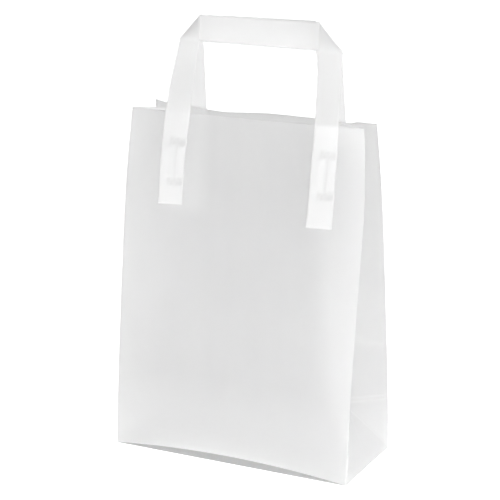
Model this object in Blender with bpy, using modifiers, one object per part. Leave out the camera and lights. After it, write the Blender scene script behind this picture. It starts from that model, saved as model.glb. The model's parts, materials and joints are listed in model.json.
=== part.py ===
"""A small carrier bag of frosted plastic film: a gusseted body with a block bottom, and two tape handles.

Metres, +Z up. X runs along the front panel, the front faces -Y, and the origin is the middle of the base.
"""

import math
from collections import namedtuple

import bmesh
import bpy

# Film body
BAG_WIDTH = 0.180  # between the upright folds, the same from base to rim
BASE_DEPTH = 0.080  # front fold to back fold at the base, which is also one gusset laid flat
RIM_HEIGHT = 0.242
FILM = 0.0003  # wall of the body and of the handle tape
MOUTH_LEFT = 0.028  # front rim to back rim at the left-hand fold
MOUTH_RIGHT = 0.0223  # front rim to back rim at the right-hand fold
BEND_DROP = 0.075  # from the rim down to where the handles' sealed legs start to stiffen the folds
FRONT_BOW = 0.005  # how far the middle of the front rim stands forward of its ends
BASE_ARCH = 0.005  # how far the middle of the front bottom edge is lifted off the ground
ARCH_REACH = 0.035  # how far the arch runs back under the base, and up the front panel

# Handles
TAPE_WIDTH = 0.019
HANDLE_SPAN = 0.1325  # outer edge to outer edge where the legs cross the rim
GRIP_SPAN = 0.127  # outer edge to outer edge where the legs meet the grip
LEG_SEALED = 0.068  # length of leg below the rim, sealed to the panel
HANDLE_LEAN = 0.14  # slope with which each handle leans in over the mouth
FRONT_RISE = 0.066  # rim to the grip's top edge
FRONT_SHIFT = 0.0059  # middle of the handle from the middle of the panel
FRONT_TILT = 0.025  # sideways slope of the legs, and the downward slope of the grip, to the right
BACK_RISE = 0.0655
BACK_SHIFT = 0.0007
BACK_TILT = -0.01
SEAL_GAP = 0.0003  # from the panel to the tape
LAYER_GAP = 0.0003  # between the two layers of tape at a mitre

# Cells of the lofted surfaces
PANEL_CELLS = 12
GUSSET_CELLS = 4  # in each half of a gusset
LOWER_LEVELS = 12  # from the base to the legs' ends
SEALED_LEVELS = 5  # from the legs' ends to the rim
FREE_LEVELS = 3  # from the rim to the grip
GRIP_CELLS = 8
TAPE_CELLS = 2
WELD = 1e-6  # where a mitre's rows share a corner

# An upright fold leans in from the base to the rim. share is its part of the closing on its side, curve is
# the power of its lean, and kick is the share of the lean added above the bend (negative: taken back).
Fold = namedtuple("Fold", "share curve kick")
FRONT_LEFT = Fold(share=0.53, curve=1.35, kick=0.15)
FRONT_RIGHT = Fold(share=0.30, curve=1.35, kick=-0.82)
BACK_LEFT = Fold(share=0.47, curve=1.30, kick=0.15)
BACK_RIGHT = Fold(share=0.70, curve=1.25, kick=0.12)

Spot = namedtuple("Spot", "rise shift tilt")
FRONT_SPOT = Spot(FRONT_RISE, FRONT_SHIFT, FRONT_TILT)
BACK_SPOT = Spot(BACK_RISE, BACK_SHIFT, BACK_TILT)

FILM_COLOUR = (0.90, 0.91, 0.91, 1.0)
FILM_ROUGHNESS = 0.45
FILM_TRANSMISSION = 0.6
TAPE_COLOUR = (0.96, 0.96, 0.96, 1.0)
TAPE_ROUGHNESS = 0.40


def lean(fold, closing, z):
    """How far a fold has moved in from its place at the base, at height z."""
    above_bend = max(0.0, z - RIM_HEIGHT + BEND_DROP) / BEND_DROP
    shape = (1 - fold.kick) * (z / RIM_HEIGHT) ** fold.curve + fold.kick * above_bend**2
    return fold.share * closing * shape


def fold_depths(side, z):
    """The y of the front fold and of the back fold on one side (-1 left, +1 right) at height z."""
    front, back, mouth = (FRONT_LEFT, BACK_LEFT, MOUTH_LEFT)
    if side > 0:
        front, back, mouth = (FRONT_RIGHT, BACK_RIGHT, MOUTH_RIGHT)
    closing = BASE_DEPTH - mouth
    return lean(front, closing, z) - BASE_DEPTH / 2, BASE_DEPTH / 2 - lean(back, closing, z)


def across(x):
    """0 at the left-hand folds and 1 at the right-hand ones."""
    return x / BAG_WIDTH + 0.5


def hump(x):
    """1 in the middle of a panel and 0 at its folds."""
    return 1 - (2 * x / BAG_WIDTH) ** 2


def front_y(x, z):
    left, right = fold_depths(-1, z)[0], fold_depths(1, z)[0]
    bow = FRONT_BOW * hump(x) * (z / RIM_HEIGHT) ** 2
    return left + (right - left) * across(x) - bow


def back_y(x, z):
    left, right = fold_depths(-1, z)[1], fold_depths(1, z)[1]
    return left + (right - left) * across(x)


def arch(x, away):
    """How far a point of the base or of the front panel is lifted, at a distance from the front bottom edge."""
    return BASE_ARCH * hump(x) * max(0.0, 1 - away / ARCH_REACH) ** 2


def gusset_half(side, z):
    """The front fold, inner fold and back fold of a gusset: its two halves keep half the base's depth."""
    front, back = fold_depths(side, z)
    half = BASE_DEPTH / 2
    tuck = math.sqrt(max(0.0, half**2 - ((back - front) / 2) ** 2))
    edge = side * BAG_WIDTH / 2
    return (edge, front), (edge - side * tuck, (front + back) / 2), (edge, back)


def between(start, end, cells):
    """Points from start up to, but not including, end."""
    return [
        tuple(a + (b - a) * i / cells for a, b in zip(start, end, strict=True)) for i in range(cells)
    ]


def body_ring(z):
    """The body's section at height z, anticlockwise from the front left fold."""
    right_front, right_inner, right_back = gusset_half(1, z)
    left_front, left_inner, left_back = gusset_half(-1, z)
    front = [
        (x, front_y(x, z), z + arch(x, z)) for x, _ in between(left_front, right_front, PANEL_CELLS)
    ]
    rest = (
        between(right_front, right_inner, GUSSET_CELLS)
        + between(right_inner, right_back, GUSSET_CELLS)
        + between(right_back, left_back, PANEL_CELLS)
        + between(left_back, left_inner, GUSSET_CELLS)
        + between(left_inner, left_front, GUSSET_CELLS)
    )
    return front + [(x, y, z) for x, y in rest]


def levels(low, high, count):
    return [low + (high - low) * i / count for i in range(count + 1)]


def sealed_levels():
    """Heights shared by the panels and by the legs sealed to them."""
    return levels(RIM_HEIGHT - LEG_SEALED, RIM_HEIGHT, SEALED_LEVELS)


def mesh_object(name, collection, bm):
    mesh = bpy.data.meshes.new(name)
    bm.to_mesh(mesh)
    bm.free()
    made = bpy.data.objects.new(name, mesh)
    collection.objects.link(made)
    return made


def loft(bm, rows, closed):
    """Faces between one row of vertices and the next, facing right of the way from row to row."""
    count = len(rows[0])
    for lower, upper in zip(rows, rows[1:], strict=False):
        for i in range(count if closed else count - 1):
            j = (i + 1) % count
            corners = list(dict.fromkeys((lower[i], lower[j], upper[j], upper[i])))
            bm.faces.new(corners)


def add_wall(made, offset):
    wall = made.modifiers.new("wall", "SOLIDIFY")
    wall.thickness = FILM
    wall.offset = offset
    wall.use_even_offset = True
    wall.use_quality_normals = True


def make_body(collection):
    """A loft of sections over an arched base, with the film's wall on its inner side."""
    bm = bmesh.new()
    heights = levels(0.0, RIM_HEIGHT - LEG_SEALED, LOWER_LEVELS)[:-1] + sealed_levels()
    rings = [[bm.verts.new(p) for p in body_ring(z)] for z in heights]
    loft(bm, rings, closed=True)

    foot = rings[0]
    depth_cells = 2 * GUSSET_CELLS
    back_start = PANEL_CELLS + depth_cells
    rows = [foot[: PANEL_CELLS + 1]]
    for j in range(1, depth_cells):
        away = BASE_DEPTH * j / depth_cells
        row = [foot[-j]]
        for i in range(1, PANEL_CELLS):
            x = BAG_WIDTH * (i / PANEL_CELLS - 0.5)
            row.append(bm.verts.new((x, away - BASE_DEPTH / 2, arch(x, away))))
        rows.append([*row, foot[PANEL_CELLS + j]])
    rows.append(foot[back_start : back_start + PANEL_CELLS + 1][::-1])
    loft(bm, rows[::-1], closed=False)

    body = mesh_object("bag_body", collection, bm)
    add_wall(body, offset=-1.0)
    return body


def tape_rows(rise):
    """The tape's rows, each as its outer and inner ends (across the panel, above the rim) and its layer."""
    grip_low = rise - TAPE_WIDTH
    rim_x = HANDLE_SPAN / 2
    top_x = GRIP_SPAN / 2
    leg = [(rim_x, z - RIM_HEIGHT) for z in sealed_levels()]
    for s in levels(0.0, grip_low, FREE_LEVELS)[1:]:
        leg.append((rim_x + (top_x - rim_x) * s / grip_low, s))
    left = [((-x, s), (TAPE_WIDTH - x, s), 0) for x, s in leg]
    mitre = ((-top_x, grip_low), (TAPE_WIDTH - top_x, rise))
    left += [(*mitre, 0), (*mitre, 1)]
    inner = top_x - TAPE_WIDTH
    grip = [((x, grip_low), (x, rise), 1) for x in levels(-inner, inner, GRIP_CELLS)]
    right = [((-a[0], a[1]), (-b[0], b[1]), layer) for a, b, layer in left[::-1]]
    return left + grip + right


def make_handle(name, collection, spot, panel_y, outward):
    """A tape sealed to a panel, leaning in above the rim, folded at 45 degrees into the grip and back."""
    bm = bmesh.new()
    spacing = FILM + LAYER_GAP

    def place(x, s, layer):
        along = x + spot.shift + spot.tilt * s
        above_rim = max(s, 0.0)
        seat = panel_y(along, RIM_HEIGHT + min(s, 0.0)) + outward * (SEAL_GAP + FILM / 2)
        lean_in = HANDLE_LEAN * above_rim + spacing * layer
        drop = spot.tilt * x * above_rim / spot.rise
        return along, seat - outward * lean_in, RIM_HEIGHT + s - drop

    rows = []
    for outer, inner, layer in tape_rows(spot.rise):
        ends = [*between(outer, inner, TAPE_CELLS), inner]
        rows.append([bm.verts.new(place(x, s, layer)) for x, s in ends])
    loft(bm, rows, closed=False)
    bmesh.ops.remove_doubles(bm, verts=bm.verts, dist=WELD)
    handle = mesh_object(name, collection, bm)
    add_wall(handle, offset=0.0)
    return handle


def make_material(name, colour, roughness, transmission):
    material = bpy.data.materials.new(name)
    material.use_nodes = True
    shader = material.node_tree.nodes["Principled BSDF"]
    shader.inputs["Base Color"].default_value = colour
    shader.inputs["Roughness"].default_value = roughness
    shader.inputs["Metallic"].default_value = 0.0
    shader.inputs["Transmission Weight"].default_value = transmission
    material.diffuse_color = colour
    return material


def main():
    for old in list(bpy.data.objects):
        bpy.data.objects.remove(old)
    collection = bpy.data.collections.new("plastic_carrier_bag")
    bpy.context.scene.collection.children.link(collection)

    film = make_material("frosted_film", FILM_COLOUR, FILM_ROUGHNESS, FILM_TRANSMISSION)
    tape = make_material("handle_tape", TAPE_COLOUR, TAPE_ROUGHNESS, FILM_TRANSMISSION)
    body = make_body(collection)
    body.data.materials.append(film)
    for handle in (
        make_handle("front_handle", collection, FRONT_SPOT, front_y, -1),
        make_handle("back_handle", collection, BACK_SPOT, back_y, 1),
    ):
        handle.data.materials.append(tape)


main()
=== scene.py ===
# %% [markdown]
# # A small carrier bag of frosted film
# The bag is three pieces of thin plastic film: one tube that is folded into a gusseted body with a block
# bottom, and two tapes that are folded into handles and sealed to its panels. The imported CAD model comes
# first, as a fixed frame. It has the true sizes, and every piece made below stands where its solid stands.

# %% Load the frame
import json
import math

import bmesh
import bpy
import numpy as np
from mathutils import Matrix, Vector

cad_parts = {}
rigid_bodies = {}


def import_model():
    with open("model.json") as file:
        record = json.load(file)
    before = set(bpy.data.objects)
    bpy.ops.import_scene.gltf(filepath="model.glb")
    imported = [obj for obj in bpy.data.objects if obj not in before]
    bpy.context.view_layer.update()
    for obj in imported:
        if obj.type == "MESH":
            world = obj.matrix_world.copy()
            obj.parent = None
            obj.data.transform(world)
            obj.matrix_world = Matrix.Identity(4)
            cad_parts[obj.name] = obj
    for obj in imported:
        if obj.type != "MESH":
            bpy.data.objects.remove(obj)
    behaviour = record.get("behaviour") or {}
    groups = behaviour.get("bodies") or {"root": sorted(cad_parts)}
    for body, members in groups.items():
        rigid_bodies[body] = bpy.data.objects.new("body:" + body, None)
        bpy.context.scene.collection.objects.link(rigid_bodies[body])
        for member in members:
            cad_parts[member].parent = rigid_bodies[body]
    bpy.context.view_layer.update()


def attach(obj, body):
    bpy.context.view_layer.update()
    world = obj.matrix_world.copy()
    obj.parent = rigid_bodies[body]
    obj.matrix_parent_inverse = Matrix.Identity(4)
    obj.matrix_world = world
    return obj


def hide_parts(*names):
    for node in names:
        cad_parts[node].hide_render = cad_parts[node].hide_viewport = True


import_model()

MM = 0.001
scene = bpy.context.scene
scene.view_settings.view_transform = "Standard"

# %% [markdown]
# ## The camera
# A photograph's place can be worked out from a box-shaped thing in it: here the upright folds and the
# bottom edges gave the angles and the distance. The camera could be turned with Euler angles, but three
# axes worked out from azimuth, elevation and roll say plainly where it looks.

# %% Camera at the photograph's angle
AZIMUTH, ELEVATION, ROLL = math.radians(25.88), math.radians(13.93), math.radians(0.42)
AIM = Vector((-2.96, 0.0, 145.12)) * MM
DISTANCE = 1056.9 * MM
SENSOR = 36.0  # in mm, as Blender takes it
FOCAL_SHARE = 3.0024  # focal length over the width of the frame


def camera_axes(azimuth, elevation, roll):
    """Right, up and back: back points from the object to the camera, and roll turns the other two."""
    back = Vector(
        (
            math.sin(azimuth) * math.cos(elevation),
            -math.cos(azimuth) * math.cos(elevation),
            math.sin(elevation),
        )
    )
    level = Vector((math.cos(azimuth), math.sin(azimuth), 0.0))
    rise = back.cross(level)
    right = math.cos(roll) * level + math.sin(roll) * rise
    return right, math.cos(roll) * rise - math.sin(roll) * level, back


def facing(axes, distance):
    """The place and turn of something that looks along these axes at the middle of the bag."""
    return Matrix.Translation(AIM + distance * axes[2]) @ Matrix(axes).transposed().to_4x4()


camera_data = bpy.data.cameras.new("camera")
camera_data.sensor_width = SENSOR
camera_data.lens = FOCAL_SHARE * SENSOR
camera_data.dof.use_dof = False
camera = bpy.data.objects.new("camera", camera_data)
camera.matrix_world = facing(camera_axes(AZIMUTH, ELEVATION, ROLL), DISTANCE)
scene.collection.objects.link(camera)
scene.camera = camera
print("camera at", [round(v, 3) for v in camera.location], "lens", round(camera_data.lens, 2), "mm")

# %% [markdown]
# ## Building a tree of nodes
# Every material below is a small graph. Adding each node and setting each socket by hand takes many
# lines, so a few helpers do it: they add a node, fill or link its sockets by name, and give its output.


# %% Node helpers
def add_node(tree, kind, settings=None, **sockets):
    """Adds a node. Each keyword is a socket's name, with _ for a space, and gives its value or its link."""
    node = tree.nodes.new(kind)
    for name, value in (settings or {}).items():
        setattr(node, name, value)
    for name, value in sockets.items():
        wanted = name.replace("_", " ")
        fill(tree, next(s for s in node.inputs if s.name == wanted and s.enabled), value)
    return node


def fill(tree, socket, value):
    """Links an output to a socket, or sets the socket to a plain value."""
    if isinstance(value, bpy.types.NodeSocket):
        tree.links.new(value, socket)
    else:
        socket.default_value = value


def grey(level):
    """A neutral colour of one level of light."""
    return (level, level, level, 1.0)


def maths(tree, operation, first, second=0.0):
    """One Math node on two values, as its output."""
    node = tree.nodes.new("ShaderNodeMath")
    node.operation = operation
    fill(tree, node.inputs[0], first)
    fill(tree, node.inputs[1], second)
    return node.outputs[0]


def ramp(tree, value, start, end, first, last):
    """A smooth step from one level to another while a value goes from start to end."""
    kind = {"interpolation_type": "SMOOTHSTEP"}
    limits = {"From_Min": start, "From_Max": end, "To_Min": first, "To_Max": last}
    return add_node(tree, "ShaderNodeMapRange", kind, Value=value, **limits).outputs["Result"]


def mix_colours(tree, factor, first, second):
    """A colour between two others."""
    node = add_node(tree, "ShaderNodeMix", {"data_type": "RGBA"}, Factor=factor, A=first, B=second)
    return node.outputs["Result"]


def mix_shaders(tree, kind, first, second):
    """Two shaders joined by a Mix Shader or an Add Shader, whose last two inputs take them."""
    node = tree.nodes.new(kind)
    tree.links.new(first.outputs[0], node.inputs[-2])
    tree.links.new(second.outputs[0], node.inputs[-1])
    return node


print("node helpers ready")

# %% [markdown]
# ## A white studio
# The bag stands in a white light tent. Turning the lamps up until the background clips would burn out a
# pale film too, so the tent lights the bag at a plain level, and only the rays that look at it see it as
# white. Light that milky film scatters is no picture of the tent, so it meets the plain level.

# %% World
WORLD_LIGHT = 0.24


def shown_ray(tree):
    """1 for rays from the camera, from gloss and through clear film, which see a plain white background.

    A ray that milky film scatters is both a transmission ray and a diffuse one. It carries light, not a
    picture, so the diffuse ones are taken out.
    """
    path = tree.nodes.new("ShaderNodeLightPath").outputs
    seen = maths(tree, "MAXIMUM", path["Is Camera Ray"], path["Is Glossy Ray"])
    seen = maths(tree, "MAXIMUM", seen, path["Is Transmission Ray"])
    return maths(tree, "MULTIPLY", seen, maths(tree, "SUBTRACT", 1.0, path["Is Diffuse Ray"]))


def light_tent():
    """A world of two white backgrounds: a plain one that lights, and one of strength 1 that is seen."""
    world = bpy.data.worlds.new("light_tent")
    world.use_nodes = True
    tree = world.node_tree
    tree.nodes.clear()
    plain = add_node(tree, "ShaderNodeBackground", Color=grey(1.0), Strength=WORLD_LIGHT)
    white = add_node(tree, "ShaderNodeBackground", Color=grey(1.0), Strength=1.0)
    pick = mix_shaders(tree, "ShaderNodeMixShader", plain, white)
    tree.links.new(shown_ray(tree), pick.inputs[0])
    out = tree.nodes.new("ShaderNodeOutputWorld")
    tree.links.new(pick.outputs[0], out.inputs["Surface"])
    return world


scene.world = light_tent()
print("world light", WORLD_LIGHT)

# %% [markdown]
# ## The ground
# A white ground bounces light up into the film. Near the bag it glows softly by itself, as a lit one does,
# but not underneath the bag, where its colour is a darker pale grey, a painted shadow that makes the gap
# under the raised front edge read as a gap. Further off it shades into the plain white that is only seen.

# %% Floor
FLOOR_SIZE = 14.0
FLOOR_DROP = 0.4 * MM  # keeps the ground just clear of the film's underside
WHITE_NEAR, WHITE_FAR = 0.12, 0.45  # metres from the bag between which the ground turns plain white
GROUND_GLOW = 0.90
GLOW_MIDDLE = (-0.04, -0.25, 0.0)
GLOW_NEAR, GLOW_FAR = 0.30, 0.75  # metres from that middle between which the glow fades
FOOT = (90 * MM, 40 * MM)  # half sizes of the bag's foot
FOOT_SOFT = 1.5 * MM
GROUND, GROUND_PAINTED_SHADOW = 0.93, 0.62  # colour of the ground, and its painted shadow under the bag


def length(tree, vector):
    """The length of a vector."""
    node = add_node(tree, "ShaderNodeVectorMath", {"operation": "LENGTH"})
    tree.links.new(vector, node.inputs[0])
    return node.outputs["Value"]


def clear_of_foot(tree, place):
    """0 under the bag and 1 around it: the larger of a step in x and a step in y."""
    axes = add_node(tree, "ShaderNodeSeparateXYZ", Vector=place).outputs
    steps = []
    for k, half in enumerate(FOOT):
        across_foot = maths(tree, "ABSOLUTE", axes[k])
        steps.append(ramp(tree, across_foot, half - FOOT_SOFT, half + FOOT_SOFT, 0.0, 1.0))
    return maths(tree, "MAXIMUM", *steps)


def white_ground():
    """A matt ground that glows near the bag for all rays, and further off for the rays that look at it."""
    material = bpy.data.materials.new("white_ground")
    material.use_nodes = True
    tree = material.node_tree
    tree.nodes.clear()
    place = add_node(tree, "ShaderNodeTexCoord").outputs["Object"]
    offset = add_node(tree, "ShaderNodeVectorMath", {"operation": "SUBTRACT"})
    tree.links.new(place, offset.inputs[0])
    offset.inputs[1].default_value = GLOW_MIDDLE
    clear = clear_of_foot(tree, place)
    lit = ramp(tree, length(tree, offset.outputs[0]), GLOW_NEAR, GLOW_FAR, GROUND_GLOW, 0.0)
    lit = maths(tree, "MULTIPLY", lit, clear)
    far = ramp(tree, length(tree, place), WHITE_NEAR, WHITE_FAR, 0.0, 1.0)
    strength = maths(tree, "ADD", lit, maths(tree, "MULTIPLY", far, shown_ray(tree)))
    # painted shadow: under the bag's foot the ground's colour is a darker grey
    colour = mix_colours(tree, clear, grey(GROUND_PAINTED_SHADOW), grey(GROUND))
    ground = add_node(tree, "ShaderNodeBsdfDiffuse", Color=colour)
    glow = add_node(tree, "ShaderNodeEmission", Color=grey(1.0), Strength=strength)
    both = mix_shaders(tree, "ShaderNodeAddShader", ground, glow)
    out = tree.nodes.new("ShaderNodeOutputMaterial")
    tree.links.new(both.outputs[0], out.inputs["Surface"])
    return material


floor_mesh = bpy.data.meshes.new("floor")
corners = FLOOR_SIZE / 2 * np.array([[-1, -1, 0], [1, -1, 0], [1, 1, 0], [-1, 1, 0]], float)
corners[:, 2] = -FLOOR_DROP
floor_mesh.from_pydata(corners.tolist(), [], [[0, 1, 2, 3]])
floor_mesh.materials.append(white_ground())
floor = bpy.data.objects.new("floor", floor_mesh)
scene.collection.objects.link(floor)
print("floor", FLOOR_SIZE, "m")

# %% [markdown]
# ## Soft lamps
# Film shows its folds by small changes of light, so the lamps are large and soft, and differ from side to
# side. The strongest is a wide one in front. The right one lights the side gusset and shines through it, a
# weak one behind keeps the back handle white, and a small one over the mouth lights the bag's inside.

# %% Lamps
# Azimuth and elevation in degrees, distance and size in metres, and watts
LAMPS = {
    "right_lamp": (88, 25, 1.5, 1.0, 12.5),
    "front_lamp": (10, 12, 1.8, 2.4, 22.0),
    "left_lamp": (-88, 15, 1.5, 1.0, 7.0),
    "back_lamp": (175, 30, 1.8, 1.6, 4.0),
    "mouth_lamp": (0, 108, 1.2, 0.6, 1.8),
}


def soft_lamp(name, azimuth, elevation, distance, size, watts):
    """A square area lamp that faces the middle of the bag."""
    data = bpy.data.lights.new(name, "AREA")
    data.size = size
    data.energy = watts
    lamp = bpy.data.objects.new(name, data)
    lamp.matrix_world = facing(camera_axes(math.radians(azimuth), math.radians(elevation), 0.0), distance)
    scene.collection.objects.link(lamp)


for name, settings in LAMPS.items():
    soft_lamp(name, *settings)

# %% [markdown]
# ## Haze in the film
# Blown film is never quite even: it has a faint cloudy haze, finer streaks along the way it was drawn,
# and a matt skin. Film and tape share this effect, so it is one node group with named inputs, which puts
# out a haze value and a height for a Bump node.

# %% Haze group
CLOUD_DETAIL, FINE_DETAIL = 3.0, 2.0
DRAWN_OUT = (1.0, 1.0, 0.12)  # a streak is about eight times as long as it is wide
STREAK_SHARE = 0.35
COLOUR, NUMBER, VECTOR = "NodeSocketColor", "NodeSocketFloat", "NodeSocketVector"


def new_group(name, taken, given):
    """A node group with named sockets, and its two ends: what it takes in and what it gives."""
    group = bpy.data.node_groups.new(name, "ShaderNodeTree")
    for io, sockets in (("INPUT", taken), ("OUTPUT", given)):
        for socket, kind in sockets.items():
            group.interface.new_socket(name=socket, in_out=io, socket_type=kind)
    return group, group.nodes.new("NodeGroupInput").outputs, group.nodes.new("NodeGroupOutput").inputs


def haze_group():
    """Haze is a low noise mixed with a noise drawn out upwards, and grain is a fine noise."""
    scales = {"Cloud Scale": NUMBER, "Streak Scale": NUMBER, "Grain Scale": NUMBER}
    group, taken, given = new_group(
        "film_haze", {"Vector": VECTOR, **scales}, {"Haze": NUMBER, "Grain": NUMBER}
    )

    def noise(place, scale, detail):
        node = add_node(group, "ShaderNodeTexNoise", Vector=place, Scale=taken[scale], Detail=detail)
        return node.outputs["Fac"]

    drawn = add_node(group, "ShaderNodeMapping", Vector=taken["Vector"], Scale=DRAWN_OUT)
    haze = add_node(
        group,
        "ShaderNodeMix",
        {"data_type": "FLOAT"},
        Factor=STREAK_SHARE,
        A=noise(taken["Vector"], "Cloud Scale", CLOUD_DETAIL),
        B=noise(drawn.outputs[0], "Streak Scale", FINE_DETAIL),
    )
    group.links.new(haze.outputs["Result"], given["Haze"])
    group.links.new(noise(taken["Vector"], "Grain Scale", FINE_DETAIL), given["Grain"])
    return group


film_haze = haze_group()
print("group", film_haze.name, [item.name for item in film_haze.interface.items_tree])

# %% [markdown]
# ## Marks where film was folded or sealed, and painted light and shade
# Polythene whitens where it has been creased or lies on more film, and clears where heat has fused it.
# Such a mark is painted into the mesh as an attribute by the formula that bends it, so mark and fold stay
# together. The same masks also carry painted light and shade: the layers mask whitens film where light is
# painted on, and the seal mask darkens a strip at the back rim as painted shade. This group turns the
# attributes, and the haze, into the film's colour and roughness.

# %% Mark group
HAZE_ROUGHNESS = 0.10  # added where the haze is thick
FUSED_ROUGHNESS = 0.12  # taken away on a seal, and on the back rim's painted shade


def mark_group():
    """Colour goes from thin to dense with the haze, then to the backed shade where film lies on film and
    where light is painted on, towards white on a crease, and down on sealed film and on the painted shade
    at the back rim."""
    masks = {"Haze": NUMBER, "Crease": NUMBER, "Seal And Shade": NUMBER, "Layers And Light": NUMBER}
    shades = {"Thin": COLOUR, "Dense": COLOUR, "Fused And Shaded": COLOUR, "Backed And Lit": COLOUR}
    group, taken, given = new_group(
        "film_marks", {**masks, **shades, "Roughness": NUMBER}, {"Color": COLOUR, "Roughness": NUMBER}
    )
    body = mix_colours(group, taken["Haze"], taken["Thin"], taken["Dense"])
    # towards the backed shade where film lies on film, and where light is painted on
    backed = mix_colours(group, taken["Layers And Light"], body, taken["Backed And Lit"])
    creased = mix_colours(group, taken["Crease"], backed, grey(1.0))
    # the seal mask also darkens the back rim towards the fused shade: painted shade
    fused = mix_colours(group, taken["Seal And Shade"], creased, taken["Fused And Shaded"])
    hazy = maths(group, "MULTIPLY", taken["Haze"], HAZE_ROUGHNESS)
    smooth = maths(group, "MULTIPLY", taken["Seal And Shade"], FUSED_ROUGHNESS)
    rough = maths(group, "SUBTRACT", maths(group, "ADD", hazy, taken["Roughness"]), smooth)
    group.links.new(fused, given["Color"])
    group.links.new(rough, given["Roughness"])
    return group


film_marks = mark_group()
print("group", film_marks.name, [item.name for item in film_marks.interface.items_tree])

# %% [markdown]
# ## Frosted film
# What lies just behind frosted film shows with soft edges, and what lies further back melts away. A flat
# grey with some alpha can't do that. A thin wall of rough glass can: light is spread a little at each face,
# so the blur grows with distance. Mixed with it is a milky share, which glows on the side away from a lamp.
# Tape that lies on more film or on itself lets little light straight through, so it has its own finish.

# %% Film materials
SLANT_WIDTH, SLANT_WHITE = 1.1, 0.55  # half width in mm, and strength, of a 45 degree fold's white line
HAZE_SCALES = {"Cloud Scale": 22.0, "Streak Scale": 90.0, "Grain Scale": 900.0}
GRAIN_HEIGHT, GRAIN_STRENGTH = 0.02 * MM, 0.3
ROUGHNESS, IOR = 0.6, 1.3
MILK = 0.5  # share of the surface that scatters light through, as milk does
# the backed shade is also the colour of painted light on the film, and the fused shade that of the painted
# shade at the back rim
FILM_SHADES = {"Thin": 0.84, "Dense": 0.92, "Fused And Shaded": 0.79, "Backed And Lit": 0.98}
TAPE_SHADES = {"Thin": 0.93, "Dense": 0.96, "Fused And Shaded": 0.80, "Backed And Lit": 1.0}


def use_group(tree, group, values):
    """Places a node group and fills its inputs."""
    node = tree.nodes.new("ShaderNodeGroup")
    node.node_tree = group
    for socket, value in values.items():
        fill(tree, node.inputs[socket], value)
    return node.outputs


def attribute(tree, name):
    """A number that is stored on the mesh."""
    return add_node(tree, "ShaderNodeAttribute", {"attribute_name": name}).outputs["Fac"]


def film_material(name, shades, passing):
    """Rough glass and milk, whose colour, roughness and grain come from the groups.

    passing is the share of a Principled surface that is glass.
    """
    material = bpy.data.materials.new(name)
    material.use_nodes = True
    tree = material.node_tree
    shader = tree.nodes["Principled BSDF"]
    place = add_node(tree, "ShaderNodeTexCoord").outputs["Object"]
    haze = use_group(tree, film_haze, {"Vector": place, **HAZE_SCALES})
    line = ramp(tree, maths(tree, "ABSOLUTE", attribute(tree, "slant")), 0.0, SLANT_WIDTH, SLANT_WHITE, 0.0)
    masks = {
        "Haze": haze["Haze"],
        "Crease": maths(tree, "ADD", attribute(tree, "crease"), line),
        "Seal And Shade": attribute(tree, "seal_and_shade"),
        "Layers And Light": attribute(tree, "layers_and_light"),
    }
    colours = {socket: grey(level) for socket, level in shades.items()}
    marks = use_group(tree, film_marks, {**masks, **colours, "Roughness": ROUGHNESS})
    matt = add_node(
        tree, "ShaderNodeBump", Strength=GRAIN_STRENGTH, Distance=GRAIN_HEIGHT, Height=haze["Grain"]
    ).outputs["Normal"]
    tree.links.new(marks["Color"], shader.inputs["Base Color"])
    tree.links.new(marks["Roughness"], shader.inputs["Roughness"])
    tree.links.new(matt, shader.inputs["Normal"])
    shader.inputs["Metallic"].default_value = 0.0
    shader.inputs["IOR"].default_value = IOR
    shader.inputs["Transmission Weight"].default_value = passing
    milk = add_node(tree, "ShaderNodeBsdfTranslucent", Color=marks["Color"], Normal=matt)
    both = mix_shaders(tree, "ShaderNodeMixShader", shader, milk)
    both.inputs[0].default_value = MILK
    tree.links.new(both.outputs[0], tree.nodes["Material Output"].inputs["Surface"])
    return material


film = film_material("frosted_film", FILM_SHADES, passing=0.75)
tape = film_material("handle_tape", TAPE_SHADES, passing=0.6)
backed_tape = film_material("backed_tape", TAPE_SHADES, passing=0.06)
print("materials:", film.name, tape.name, backed_tape.name)

# %% [markdown]
# ## The body's folds
# A gusseted bag is a tube with six upright folds: two edges of the front panel, two of the back, and one
# inside each gusset. The four outer folds stand square at the base and lean in towards the rim. Each one
# is a power of the height, so it starts upright and bends more near the top, where the mouth is drawn in.

# %% Sizes and outer folds
WIDTH, DEPTH, HEIGHT, WALL = 180 * MM, 80 * MM, 242 * MM, 0.3 * MM
HALF = DEPTH / 2
BEND = 75 * MM  # from the rim down to where the folds bend more
MOUTH = {-1: 28 * MM, 1: 22.3 * MM}  # front rim to back rim at the left folds and at the right ones
# Share of the closing, power, and the part of the lean that comes above the bend
FOLDS = {
    (-1, "front"): (0.53, 1.35, 0.15),
    (1, "front"): (0.30, 1.35, -0.82),
    (-1, "back"): (0.47, 1.30, 0.15),
    (1, "back"): (0.70, 1.25, 0.12),
}
FLARE, FLARE_DROP, FLARE_WIDTH = 6.0 * MM, 14 * MM, 14 * MM  # the back left corner, sprung open


def flare(z):
    """How far the back left corner springs back: most at the rim, falling off downwards."""
    return FLARE * np.exp(-(HEIGHT - z) / FLARE_DROP)


def fold_y(side, face, z):
    """Outer folds start half the depth from the middle and move in by share x closing x shape."""
    share, power, kick = FOLDS[side, face]
    bent = np.clip((z - HEIGHT + BEND) / BEND, 0, None) ** 2
    moved = share * (DEPTH - MOUTH[side]) * ((1 - kick) * (z / HEIGHT) ** power + kick * bent)
    if face == "front":
        return moved - HALF
    return HALF - moved + (flare(z) if side < 0 else 0.0)


heights = np.linspace(0, HEIGHT, 5)
print("front left fold, y in mm:", np.round(fold_y(-1, "front", heights) / MM, 1))
print("back right fold, y in mm:", np.round(fold_y(1, "back", heights) / MM, 1))

# %% [markdown]
# ## The two panels
# A panel could be one flat face between its folds, but film that has been packed flat keeps slow waves,
# and the front one stands forward in the middle. So a panel is the straight line between its folds, plus
# a bow, plus a few long sine waves that fade out at the folds. Handles are laid on the same functions.

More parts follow.
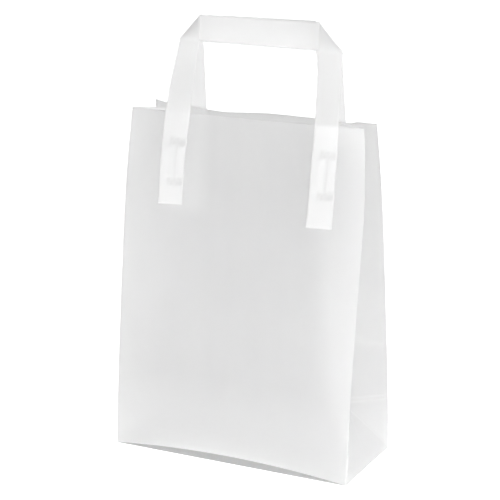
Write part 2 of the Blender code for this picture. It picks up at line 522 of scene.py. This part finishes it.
# %% Panel surfaces
BOW = 5 * MM  # how far the front panel's middle stands forward at the rim
ARCH, ARCH_REACH = 5 * MM, 35 * MM  # how high the front bottom edge is raised, and how far back
WAVE = 0.35 * MM
WAVE_PATHS = ((14.4, 6.4), (-8.0, 17.6), (22.4, 11.2), (6.4, -25.6))  # cycles in a metre along x and z
WAVE_SHIFT = 1.7  # keeps the waves from starting together
WAVE_FOOT = 25 * MM  # height under which the waves fade
WAVE_STEEP = 3  # how fast they reach their full height inside the folds
FRONT_SEED, BACK_SEED = 0.4, 2.1
RIM_REACH = 30 * MM  # how far down the shape of the back rim is felt
CORNER_RISE, CORNER_REACH = 1.5 * MM, 8 * MM
DIPS = ((2.0 * MM, -30 * MM, 24 * MM), (3.0 * MM, 66.5 * MM, 5 * MM))  # depth, place and width


def across(x):
    """0 at the left folds, 1 at the right ones."""
    return x / WIDTH + 0.5


def hump(x):
    """1 in the middle of a panel, 0 at its folds."""
    return 1 - (2 * x / WIDTH) ** 2


def gauss(value, width):
    """A bell of height 1: e to the minus square of value over width."""
    return np.exp(-((value / width) ** 2))


def waves(x, z, seed):
    """Four long sine waves in fixed directions, shifted by the seed, that die away at the folds."""
    total = 0.0
    for k, (along_x, along_z) in enumerate(WAVE_PATHS):
        turn = 2 * math.pi * (along_x * x + along_z * z)
        total = total + np.sin(turn + seed * (k + WAVE_SHIFT)) / (k + 1)
    return WAVE * total * np.clip(hump(x) * WAVE_STEEP, 0, 1) * np.clip(z / WAVE_FOOT, 0, 1)


def front_y(x, z):
    """The line between the front folds, less the bow, which grows with the square of the height."""
    left, right = fold_y(-1, "front", z), fold_y(1, "front", z)
    bow = BOW * hump(x) * (z / HEIGHT) ** 2
    return left + (right - left) * across(x) - bow + waves(x, z, FRONT_SEED)


def back_y(x, z):
    """The line between the back folds, with the left corner's flare kept to its last few millimetres."""
    left, right = fold_y(-1, "back", z) - flare(z), fold_y(1, "back", z)
    sprung = flare(z) * np.exp(-(x + WIDTH / 2) / FLARE_WIDTH)
    return left + (right - left) * across(x) + sprung + waves(x, z, BACK_SEED)


def arch(x, away):
    """Lifts the front bottom edge: a hump along it, falling off with the square of the distance from it."""
    return ARCH * hump(x) * np.clip(1 - away / ARCH_REACH, 0, None) ** 2


def near_rim(z):
    """1 at the rim, falling off with a square to 0 at RIM_REACH below it."""
    return np.clip(1 - (HEIGHT - z) / RIM_REACH, 0, 1) ** 2


def corner_rise(from_fold, z):
    """The sprung back left corner stands higher, by an exponential of the distance from its fold."""
    return CORNER_RISE * np.exp(-from_fold / CORNER_REACH) * near_rim(z)


def back_sag(x, z):
    """The back rim dips by about 2 mm left of its middle, and more sharply beside the right leg."""
    dip = sum(depth * gauss(x - place, width) for depth, place, width in DIPS)
    return corner_rise(x + WIDTH / 2, z) - dip * near_rim(z)


print("front panel middle at the rim, y in mm:", round(float(front_y(0.0, HEIGHT)) / MM, 2))

# %% [markdown]
# ## The gussets
# Seen in the flat, each half of a gusset is 40 mm wide. Near the base the film is also folded along 45
# degree lines that run up from the corners, which leaves an upright triangle, and above it the two halves
# tuck in as a V. A distance from the fold and a height give every point: the smaller of the two says how
# far the point has gone along the tucked half. Two cross creases stay from when the bag lay flat.

# %% Marks on a gusset
CREASE_LOW, CREASE_HIGH = (40 * MM, 46 * MM), (81 * MM, 93 * MM)  # at the outer fold, and at the inner one
DOUBLE_HALF, DOUBLE_WIDTH, BROAD_WIDTH = 1.5 * MM, 0.9 * MM, 3.0 * MM
DOUBLE_RELIEF, BROAD_RELIEF = 0.35 * MM, 0.8 * MM
DOUBLE_WHITE, BROAD_WHITE = 0.45, 0.2
FOLD_WIDTH, OUTER_WHITE, INNER_WHITE = 0.7 * MM, 0.35, 0.25


def gusset_marks(a, z):
    """Relief outwards and crease strength: a low double line, a broad high one, and the upright folds."""
    low, high = [start + (end - start) * a / HALF for start, end in (CREASE_LOW, CREASE_HIGH)]
    double = gauss(z - low - DOUBLE_HALF, DOUBLE_WIDTH) + gauss(z - low + DOUBLE_HALF, DOUBLE_WIDTH)
    broad = gauss(z - high, BROAD_WIDTH)
    relief = DOUBLE_RELIEF * double + BROAD_RELIEF * broad
    fold = OUTER_WHITE * gauss(a, FOLD_WIDTH) + INNER_WHITE * gauss(HALF - a, FOLD_WIDTH)
    return relief, np.clip(DOUBLE_WHITE * double + BROAD_WHITE * broad + fold, 0, 1)


middle = gusset_marks(np.array([HALF / 2]), np.array([sum(CREASE_HIGH) / 2]))
print("relief in the middle of the high crease, mm:", round(float(middle[0][0]) / MM, 2))

# %% [markdown]
# The marks could be pressed into a finished surface, but a gusset's point is known by its distance and
# height before it is placed, so relief and place are worked out together. Relief goes straight out from
# the film, which on the tucked half is a turned direction, and it fades beside every fold.

# %% Gusset surface
SOFT = 2.5 * MM  # rounding of the 45 degree fold
LEAST_REACH = 0.1 * MM
SIDE_LIFT, SIDE_REACH = 1.0 * MM, 10 * MM  # the side bottom edges curl up, as the front one does
SWELL = 0.8 * MM
FADE_OUTER, FADE_INNER, FADE_FOOT = 3 * MM, 2 * MM, 5 * MM


def soft_min(a, b, width):
    """The smaller of two lengths, rounded over a width where they cross."""
    near = np.clip(width - np.abs(a - b), 0, None)
    return np.clip(np.minimum(a, b) - near**2 / (4 * width), 0, None)


def gusset(side, a, z):
    """Points at distance a behind the front fold, with their crease strength and distance from the slant.

    Past the middle they are counted from the back fold. The half's turn comes from keeping its film
    whole: cos = 1 - (HALF - half depth) / min(z, HALF).
    """
    front, rear = fold_y(side, "front", z), fold_y(side, "back", z)
    reach = np.clip(np.minimum(z, HALF), LEAST_REACH, None)
    cos = np.clip(1 - (HALF - (rear - front) / 2) / reach, 0.0, 1.0)
    sin = np.sqrt(1 - cos**2)
    ahead = a <= HALF
    along = np.where(ahead, a, DEPTH - a)
    tucked = soft_min(along, z, SOFT)
    relief, crease = gusset_marks(along, z)
    swell = SWELL * np.sin(math.pi * along / HALF) * np.clip((z - HALF) / HALF, 0, 1)
    fade = np.clip(along / FADE_OUTER, 0, 1) * np.clip(z / FADE_FOOT, 0, 1)
    relief = (relief + swell) * fade * np.clip((HALF - along) / FADE_INNER, 0, 1)
    turned = np.where(along < z, sin, 0.0)
    x = side * (WIDTH / 2 - tucked * sin + relief * np.sqrt(1 - turned**2))
    run = tucked * cos + (along - tucked)
    y = np.where(ahead, front + run + relief * turned, rear - run - relief * turned)
    lift = SIDE_LIFT * np.sin(math.pi * a / DEPTH) * np.clip(1 - z / SIDE_REACH, 0, None) ** 2
    rise = corner_rise(DEPTH - a, z) if side < 0 else 0.0
    return x, y, z + lift + rise, crease, (along - z) / MM


probe = gusset(1, np.array([HALF]), np.array([HEIGHT]))
print("right inner fold at the rim, mm:", [round(float(v[0]) / MM, 1) for v in probe[:3]])

# %% [markdown]
# ## One grid round the bag
# The panels and gussets join into one surface, with distance round the tube as one parameter and height as
# the other. Cells are finer beside each fold, so that a fold is drawn by a narrow band and looks creased,
# not rounded. The base is a second grid, and its outer points are the tube's lowest ring.

# %% Parameter steps
PANEL_CELLS, HALF_CELLS = 64, 34
CROWDING = 0.93  # 0 gives even steps, and near 1 the end steps are very fine
FOOT_STEPS, FOOT_TOP, FOOT_POWER = 8, 4 * MM, 1.5
# Start and end in mm, and levels: the triangle, low crease, between the creases, high crease, and the rest
HEIGHT_BANDS = ((4, 36, 22), (36, 50, 21), (50, 78, 15), (78, 96, 13), (96, 240, 50))
RIM_STEPS = (1.3 * MM, 0.6 * MM, 0.0)


def to_folds(count):
    """Steps from 0 to 1 that crowd towards both ends: t less a share of sin(2 pi t) / 2 pi."""
    t = np.linspace(0, 1, count + 1)
    return t - CROWDING * np.sin(2 * math.pi * t) / (2 * math.pi)


def height_steps():
    """Fine steps over the base's fold, the triangle, the creases and the rim, and wide ones elsewhere."""
    low = FOOT_TOP * np.linspace(0, 1, FOOT_STEPS) ** FOOT_POWER
    rest = [np.linspace(start * MM, end * MM, count)[1:] for start, end, count in HEIGHT_BANDS]
    return np.concatenate([low, *rest, HEIGHT - np.array(RIM_STEPS)])


def grid_faces(index, closed):
    """Four corners for each cell of an index grid, and round to the start again where it is closed."""
    if closed:
        index = np.concatenate([index, index[:, :1]], axis=1)
    a, b, c, d = index[:-1, :-1], index[:-1, 1:], index[1:, 1:], index[1:, :-1]
    return np.stack([a, b, c, d], axis=-1).reshape(-1, 4)


def write_mesh(name, points, faces, attributes):
    """Puts points, quads and point attributes into a new mesh object, shaded smooth."""
    mesh = bpy.data.meshes.new(name)
    mesh.vertices.add(len(points))
    mesh.vertices.foreach_set("co", np.ascontiguousarray(points, np.float32).ravel())
    mesh.loops.add(faces.size)
    mesh.loops.foreach_set("vertex_index", faces.astype(np.int32).ravel())
    mesh.polygons.add(len(faces))
    mesh.polygons.foreach_set("loop_start", np.arange(0, faces.size, 4, dtype=np.int32))
    mesh.update(calc_edges=True)
    for key, values in attributes.items():
        mesh.attributes.new(key, "FLOAT", "POINT").data.foreach_set("value", values.astype(np.float32))
    mesh.polygons.foreach_set("use_smooth", np.ones(len(faces), bool))
    made = bpy.data.objects.new(name, mesh)
    scene.collection.objects.link(made)
    return made


print("levels:", len(height_steps()), "points round the tube:", 2 * PANEL_CELLS + 4 * HALF_CELLS)

# %% [markdown]
# ## Where film lies near film, and painted light
# Beside the upright folds the tucked gussets lie close behind the panels, at the foot flaps are folded in
# under the base, and the handles' legs back the panels. There the film looks whiter. Rough glass alone
# shows what touches it but loses what stands further back, so a mask says where the film is whitened, and
# the mark group whitens it. Under the back legs the film is truly layered. On the front panel the mask is
# painted light: bands where the gussets show through, stronger on the right, where the right lamp lights
# its gusset, a lighter foot, most in the middle, where light comes up from the ground, and the back legs'
# clouds, which are set where the camera sees them.
# On the back panel a strip along the cut rim is painted darker and smoother through the seal mark, as
# painted shade on the panel's inside.

# %% Masks of layered and of cleared film
GUSSET_LIGHT = {-1: (12 * MM, 0.12), 1: (-2 * MM, 0.60)}  # painted light of the gussets seen through the front panel: how far past the inner fold, and how white
GUSSET_LIGHT_SOFT, GUSSET_LIGHT_FOOT, GUSSET_LIGHT_GAIN = 18 * MM, 0.65, 0.5  # soft edge, share at the base, more at the rim
FADE_POWER = 1.5
TUCKED_WHITE = 0.5  # in a gusset at the rim, where its halves lie close together
FLAP_WHITE = 0.9  # in the triangle at a gusset's foot
PAINTED_FOOT_LIGHT, PAINTED_FOOT_REACH = 1.0, 60 * MM  # painted light from the ground, at the foot of the front panel
BACK_LEGS, LEG_LENGTH = ((-63 * MM, -44 * MM), (48 * MM, 67 * MM)), 68 * MM
PATCH_SOFT = 2 * MM  # edge of the patch under each back leg
SEEN_SHIFT, SEEN_RISE, SEEN_SOFT, SEEN_LEG_LIGHT = 12 * MM, 6 * MM, 10 * MM, 0.5  # painted light: clouds where the back legs show through the front panel
RIM_SHADE_REACH, RIM_SHADE_LEAST = 11 * MM, 0.3  # height of the strip of painted shade at the back rim, and the share left at the folds


def box_mask(value, low, high, soft):
    """1 between two limits, falling to 0 over a soft width outside them."""
    return np.clip((value - low) / soft + 1, 0, 1) * np.clip((high - value) / soft + 1, 0, 1)


def painted_gusset_light(x, z):
    """Painted light: bands beside the upright folds, as wide as the tucked gusset: sqrt(HALF^2 - half
    depth^2).
    """
    total = 0.0
    for side, (shift, share) in GUSSET_LIGHT.items():
        half_depth = (fold_y(side, "back", z) - fold_y(side, "front", z)) / 2
        reach = np.sqrt(np.clip(HALF**2 - half_depth**2, 0, None)) + shift
        past = (WIDTH / 2 - side * x - reach) / GUSSET_LIGHT_SOFT
        near = GUSSET_LIGHT_FOOT + GUSSET_LIGHT_GAIN * z / HEIGHT
        total = total + share * near * (1 - np.clip(past + 0.5, 0, 1)) ** FADE_POWER
    return total


def back_legs(x, z, soft):
    """1 where the back handle's legs are sealed, and 0 elsewhere."""
    across_legs = sum(box_mask(x, low, high, soft) for low, high in BACK_LEGS)
    return across_legs * box_mask(z, HEIGHT - LEG_LENGTH, HEIGHT, soft)


def front_painted_light(x, z):
    """Painted light on the front panel: a lighter foot, the gussets' bands, and clouds where the back legs
    show through.
    """
    foot_light = PAINTED_FOOT_LIGHT * np.clip(1 - z / PAINTED_FOOT_REACH, 0, 1) * (1 + hump(x)) / 2
    seen = SEEN_LEG_LIGHT * back_legs(x - SEEN_SHIFT, z - SEEN_RISE, SEEN_SOFT)
    return np.maximum(np.maximum(foot_light, painted_gusset_light(x, z)), seen)


def gusset_layers(z):
    """On a gusset: more towards the rim, and more again down in the triangle."""
    return TUCKED_WHITE * (z / HEIGHT) ** FADE_POWER + FLAP_WHITE * np.clip(1 - z / HALF, 0, 1)


def painted_rim_shade(x, layered_and_lit):
    """Painted shade on the back panel: 1 at the cut rim and 0 below the strip, less at the folds, none on
    the legs.
    """
    column = np.arange(x.shape[1]) - PANEL_CELLS - 2 * HALF_CELLS
    on_back = (column >= 0) & (column <= PANEL_CELLS)
    strip = np.clip(1 - (HEIGHT - height_steps()) / RIM_SHADE_REACH, 0, 1)[:, None]
    return strip * on_back * (1 - layered_and_lit) * np.clip((WIDTH / 2 - abs(x)) / RIM_SHADE_REACH, RIM_SHADE_LEAST, 1)


print("layers mask in the middle of the front panel's foot:", float(front_painted_light(0.0, 0.0)))

# %% [markdown]
# ## The film body
# With the grid laid out, the tube is four surfaces side by side, front panel, right gusset, back panel and
# left gusset, and each comes with its marks. The tube could be cut from a box and its folds moved by hand,
# but then marks and folds would drift apart.


# %% Tube and base
def tube_grid():
    """Points, crease, slant and the mask of film on film and painted light, level by level round the tube
    from the front left fold.
    """
    z = height_steps()[:, None]
    x = WIDTH * (to_folds(PANEL_CELLS)[None, :-1] - 0.5)
    part = to_folds(HALF_CELLS)[:-1] * HALF
    a = np.concatenate([part, HALF + part])[None, :]
    blank = 0 * x * z
    far = blank - (z + DEPTH) / MM
    tucked = gusset_layers(z) + 0 * a
    faces = (
        (x + blank, front_y(x, z), z + arch(x, z), blank, far, front_painted_light(x, z)),
        (*gusset(1, a + 0 * z, z + 0 * a), tucked),
        (blank - x, back_y(-x, z), z + back_sag(-x, z), blank, far, back_legs(-x, z, PATCH_SOFT)),
        (*gusset(-1, DEPTH - a + 0 * z, z + 0 * a), tucked),
    )
    x, y, z, crease, slant, layered_and_lit = [np.concatenate(values, axis=1) for values in zip(*faces)]
    return np.stack([x, y, z], axis=-1), crease, slant, layered_and_lit


def base_grid(around, first):
    """Index grid of the base, front to back: the tube's lowest ring round points that start at first."""
    depth_cells = 2 * HALF_CELLS
    back_start = PANEL_CELLS + depth_cells
    index = np.empty((depth_cells + 1, PANEL_CELLS + 1), int)
    index[0] = np.arange(PANEL_CELLS + 1)
    index[-1] = np.arange(back_start, back_start + PANEL_CELLS + 1)[::-1]
    index[:, -1] = PANEL_CELLS + np.arange(depth_cells + 1)
    index[:, 0] = -np.arange(depth_cells + 1) % around
    inside = index[1:-1, 1:-1]
    index[1:-1, 1:-1] = first + np.arange(inside.size).reshape(inside.shape)
    return index


def base_inside(ring):
    """Points inside the base's rim, lifted by the front arch and, close to the sides, by their curl."""
    x = ring[1:PANEL_CELLS, 0][None, :]
    away = (ring[PANEL_CELLS + 1 : PANEL_CELLS + 2 * HALF_CELLS, 1] + HALF)[:, None]
    near_side = np.clip(1 - (WIDTH / 2 - abs(x)) / SIDE_REACH, 0, 1) ** 2
    lift = arch(x, away) + SIDE_LIFT * np.sin(math.pi * away / DEPTH) * near_side
    return np.stack(np.broadcast_arrays(x, away - HALF, lift), axis=-1).reshape(-1, 3)


def make_body():
    """Tube and base as one mesh with its marks. The base counts as film on film all over."""
    points, crease, slant, layered_and_lit = tube_grid()
    inner = base_inside(points[0])
    tube_index = np.arange(crease.size).reshape(crease.shape)
    base_index = base_grid(crease.shape[1], crease.size)
    faces = [grid_faces(tube_index, closed=True), grid_faces(base_index, closed=False)[:, ::-1]]
    marks = {
        "crease": (crease, 0.0),
        # painted shade: the back rim's darker strip goes into the seal mask
        "seal_and_shade": (painted_rim_shade(points[..., 0], layered_and_lit), 0.0),
        "slant": (slant, -DEPTH / MM),
        "layers_and_light": (layered_and_lit, 1.0),
    }
    attributes = {}
    for key, (on_tube, on_base) in marks.items():
        attributes[key] = np.concatenate([on_tube.ravel(), np.full(len(inner), on_base)])
    every_point = np.concatenate([points.reshape(-1, 3), inner])
    made = write_mesh("film_body", every_point, np.concatenate(faces), attributes)
    made.data.materials.append(film)
    return made


body = make_body()
print("film body:", len(body.data.vertices), "points,", len(body.data.polygons), "faces")

# %% [markdown]
# ## A wall for the film
# A sheet without thickness would bend light only once. Solidify gives the film its wall on the inner side,
# as the CAD solid has it, so light meets two faces on its way through, and the piece is a closed solid.


# %% Film wall
def add_wall(piece, offset, even):
    """Offset -1 keeps the outer face, 0 grows both ways. Even keeps the thickness round sharp folds."""
    wall = piece.modifiers.new("wall", "SOLIDIFY")
    wall.thickness = WALL
    wall.offset = offset
    wall.use_even_offset = even
    wall.use_quality_normals = True


add_wall(body, -1.0, even=False)
print("wall", WALL / MM, "mm")

# %% [markdown]
# ## The handles
# Each handle is one tape. A leg comes up the panel, leans in over the mouth and is folded over at 45
# degrees, so the grip runs level behind it, and the other end mirrors that. A chain of bars would miss the
# folds. Here each row across the tape is given by its two ends, the rows run along the whole tape, and
# points between the listed rows are straight mixes of them. The ends sit where the photograph shows them.

# %% Rows of tape
# Each row, in mm: first end (x, height over the rim, set back), second end, layer, steps to the next row
FRONT_ROWS = [
    ((-62.3, -64.5, 0), (-43.5, -63.3, 0), 0, 22),
    ((-62.3, -34.0, 0), (-42.9, -33.0, 0), 0, 22),
    ((-60.2, 0.0, 0), (-40.0, 0.0, 0), 0, 8),
    ((-58.6, 16.0, 0.8), (-38.7, 16.0, 0), 0, 16),
    ((-54.4, 49.7, 5.0), (-36.2, 49.5, 0), 0, 1),
    ((-54.4, 49.7, 5.0), (-36.9, 66.5, 0), 0, 1),
    ((-54.4, 49.7, 5.0), (-36.9, 66.5, 0), 1, 1),
    ((-36.2, 49.3, 0), (-36.9, 66.8, 0), 1, 20),
    ((8.5, 48.4, 0), (7.0, 66.7, 0), 1, 20),
    ((54.3, 47.6, 0), (53.2, 66.2, 0), 1, 1),
    ((71.8, 47.0, 0), (53.7, 65.1, 0), 1, 1),
    ((71.8, 47.0, 0), (53.7, 65.1, 0), 0, 1),
    ((71.8, 47.0, 0), (54.3, 48.0, 0), 0, 22),
    ((72.6, 0.0, 0), (55.3, 0.0, 0), 0, 22),
    ((69.2, -33.0, 0), (51.6, -34.4, 0), 0, 22),
    ((68.1, -69.9, 0), (49.8, -70.2, 0), 0, 0),
]
BACK_ROWS = [
    ((-63.2, -68.0, 0), (-44.2, -68.0, 0), 0, 36),
    ((-62.9, 0.0, 0), (-43.9, 0.0, 0), 0, 20),
    ((-61.8, 46.5, 0), (-42.8, 46.5, 0), 0, 1),
    ((-61.8, 46.5, 0), (-42.8, 65.5, 0), 0, 1),
    ((-61.8, 46.5, 0), (-42.8, 65.5, 0), 1, 1),
    ((-42.8, 46.5, 0), (-42.8, 65.5, 0), 1, 36),
    ((46.4, 47.3, 0), (46.4, 66.2, 0), 1, 1),
    ((65.4, 47.3, 0), (46.4, 66.2, 0), 1, 1),
    ((65.4, 47.3, 0), (46.4, 66.2, 0), 0, 1),
    ((65.4, 47.3, 0), (46.4, 47.3, 0), 0, 20),
    ((66.6, 0.0, 0), (47.6, 0.0, 0), 0, 36),
    ((67.4, -68.0, 0), (48.4, -68.0, 0), 0, 0),
]


def spread_rows(rows):
    """Fills in the rows between the listed ones, and gives first ends, second ends and layers."""
    first, second, layer, steps = [np.array(values, float) for values in zip(*rows)]
    at = np.concatenate([[0], np.cumsum(steps[:-1])])
    every = np.arange(at[-1] + 1)

    def mix(values):
        return np.stack([np.interp(every, at, column) for column in values.T], axis=-1)

    return mix(first * MM), mix(second * MM), np.interp(every, at, layer)


first, second, _ = spread_rows(FRONT_ROWS)
print("front handle rows:", len(first), "first width, mm:", round(abs(second[0, 0] - first[0, 0]) / MM, 1))

# %% [markdown]
# ## Seals and puckers
# The legs were fixed by two short hot bars, one above the other. Film that is fused lies flat and clearer,
# and the loose film between the bars stands up in a soft bulge beside a sharp upright crease. Both are
# worked out over the leg's own width and length, and the marks go into the seal attribute, which at the
# back rim also carries painted shade.

# %% Relief of a sealed leg
BARS, BAR_HALF, BAR_SOFT = (-20 * MM, -48 * MM), 2.1 * MM, 1.2 * MM  # heights over the rim
BAR_ENDS, END_SOFT = (0.34, 0.93), 0.06  # shares of the leg's width
BETWEEN_GAP, BETWEEN_SOFT = 4 * MM, 3 * MM
WANDER, WANDER_ACROSS, WANDER_UP = 0.5 * MM, 9, 7 * MM
# Height of the relief, and its place and width as shares of the leg's width
BULGE, BULGE_AT, BULGE_WIDTH = 0.9 * MM, 0.30, 0.17
RIDGE, RIDGE_AT, RIDGE_WIDTH = 0.5 * MM, 0.80, 0.09
PINCH, PINCH_AT, PINCH_WIDTH = 0.12 * MM, 0.62, 0.05
BAR_SINK, TEETH_RISE = 0.15 * MM, 0.05 * MM
TOOTH, TOOTH_UP = 0.21, 0.9 * MM
DRIFT_UP, DRIFT_ACROSS, DRIFT_TURNS = 1.5, 3, 11  # keeps the teeth uneven
BAR_MARK, TEETH_MARK, PINCH_MARK = 0.33, 0.10, 0.30


def sealed_leg(u, s):
    """Relief and seal strength. u is the share of the width from the left, s the height over the rim."""
    wander = WANDER * np.sin(WANDER_ACROSS * u + s / WANDER_UP)
    bars = sum(box_mask(s - wander, bar - BAR_HALF, bar + BAR_HALF, BAR_SOFT) for bar in BARS)
    bars = bars * box_mask(u, *BAR_ENDS, END_SOFT)
    between = box_mask(s, BARS[1] + BETWEEN_GAP, BARS[0] - BETWEEN_GAP, BETWEEN_SOFT)
    bulge = BULGE * gauss(u - BULGE_AT, BULGE_WIDTH) * between
    ridge = RIDGE * gauss(u - RIDGE_AT, RIDGE_WIDTH) * between
    pinch = gauss(u - PINCH_AT, PINCH_WIDTH) * between
    drift = DRIFT_UP * np.sin(s / TOOTH_UP) + DRIFT_ACROSS * np.sin(DRIFT_TURNS * u)
    teeth = np.sin(2 * math.pi * u / TOOTH + drift)
    relief = bulge + ridge - BAR_SINK * bars + TEETH_RISE * teeth * bars - PINCH * pinch
    return relief, np.clip(bars * (BAR_MARK + TEETH_MARK * teeth) + PINCH_MARK * pinch, 0, 1)


sample = sealed_leg(np.array([BULGE_AT]), np.array([sum(BARS) / 2]))
print("bulge between the bars, mm:", round(float(sample[0][0]) / MM, 2))

# %% [markdown]
# ## Laying the tape
# Below the rim the tape follows its panel's own function, so it can't sink into it, and above the rim it
# leans in over the mouth. The faces that lie on the panel, and those of the two mitres, take the finish of
# backed tape. The rows of a mitre share a corner, and the points that meet there are merged.

# %% Make a handle
TAPE_STEPS = 14
LEAN = 0.14  # how far in for each step up
SEAT_GAP = 0.3 * MM  # between panel and tape, as in the CAD model
SEAT = SEAT_GAP + WALL / 2  # from the panel to the middle of the tape
LAYERS = 0.6 * MM  # between the two layers of a mitre
MITRE_WHITE = 0.6  # share of the layered colour where the tape lies folded on itself
MITRE_ROWS = (-2, -1, 0, 1)  # rows of a mitre, counted from the one where the layer changes
RIM_FADE = 16 * MM  # height over the rim in which a leg loses the layered colour
EDGE_SHARE, EDGE_WHITE = 0.05, 0.5  # the cut edges of the tape
RIM_SLACK, MERGE = 0.1 * MM, 0.001 * MM


def make_handle(name, rows, panel_y, outward):
    """Lays the rows on the panel and on the leaning plane above it, and lifts the second layer."""
    first, second, layer = spread_rows(rows)
    t = np.linspace(0, 1, TAPE_STEPS + 1)[None, :, None]
    flat = first[:, None, :] * (1 - t) + second[:, None, :] * t
    x, s, set_back = np.moveaxis(flat, -1, 0)
    t = t[..., 0] + 0 * x
    relief, seal_and_shade = sealed_leg(np.where(x < 0, t, 1 - t), s)
    seat = panel_y(x, HEIGHT + np.minimum(s, 0)) + outward * (SEAT + relief)
    y = seat - outward * (LEAN * np.clip(s, 0, None) + LAYERS * layer[:, None] + set_back)
    turned = np.abs(np.diff(layer, prepend=layer[0]))
    mitre = np.max([np.roll(turned, k) for k in MITRE_ROWS], axis=0)[:, None] + 0 * x
    marks = {
        "crease": EDGE_WHITE * np.clip(1 - np.minimum(t, 1 - t) / EDGE_SHARE, 0, 1),
        "seal_and_shade": seal_and_shade,
        "layers_and_light": np.maximum(np.clip(1 - s / RIM_FADE, 0, 1), MITRE_WHITE * mitre),
        "slant": 0 * x - DEPTH / MM,
    }
    points = np.stack([x, y, HEIGHT + s], axis=-1).reshape(-1, 3)
    faces = grid_faces(np.arange(x.size).reshape(x.shape), closed=False)
    made = write_mesh(name, points, faces, {key: values.ravel() for key, values in marks.items()})
    backed = (s.ravel()[faces].max(axis=1) <= RIM_SLACK) | (mitre.ravel()[faces].min(axis=1) > 0)
    made.data.polygons.foreach_set("material_index", backed.astype(np.int32))
    made.data.materials.append(tape)
    made.data.materials.append(backed_tape)
    bm = bmesh.new()
    bm.from_mesh(made.data)
    bmesh.ops.remove_doubles(bm, verts=bm.verts, dist=MERGE)
    bm.to_mesh(made.data)
    bm.free()
    add_wall(made, 0.0, even=True)
    print(name, "points:", len(made.data.vertices))
    return made


front_handle = make_handle("front_handle_tape", FRONT_ROWS, front_y, -1)
back_handle = make_handle("back_handle_tape", BACK_ROWS, back_y, 1)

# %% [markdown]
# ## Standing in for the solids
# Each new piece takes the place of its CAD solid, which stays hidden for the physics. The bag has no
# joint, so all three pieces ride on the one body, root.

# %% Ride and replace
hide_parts("bag_body")
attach(body, "root")
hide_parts("front_handle")
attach(front_handle, "root")
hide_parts("back_handle")
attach(back_handle, "root")
print("pieces:", body.name, front_handle.name, back_handle.name)
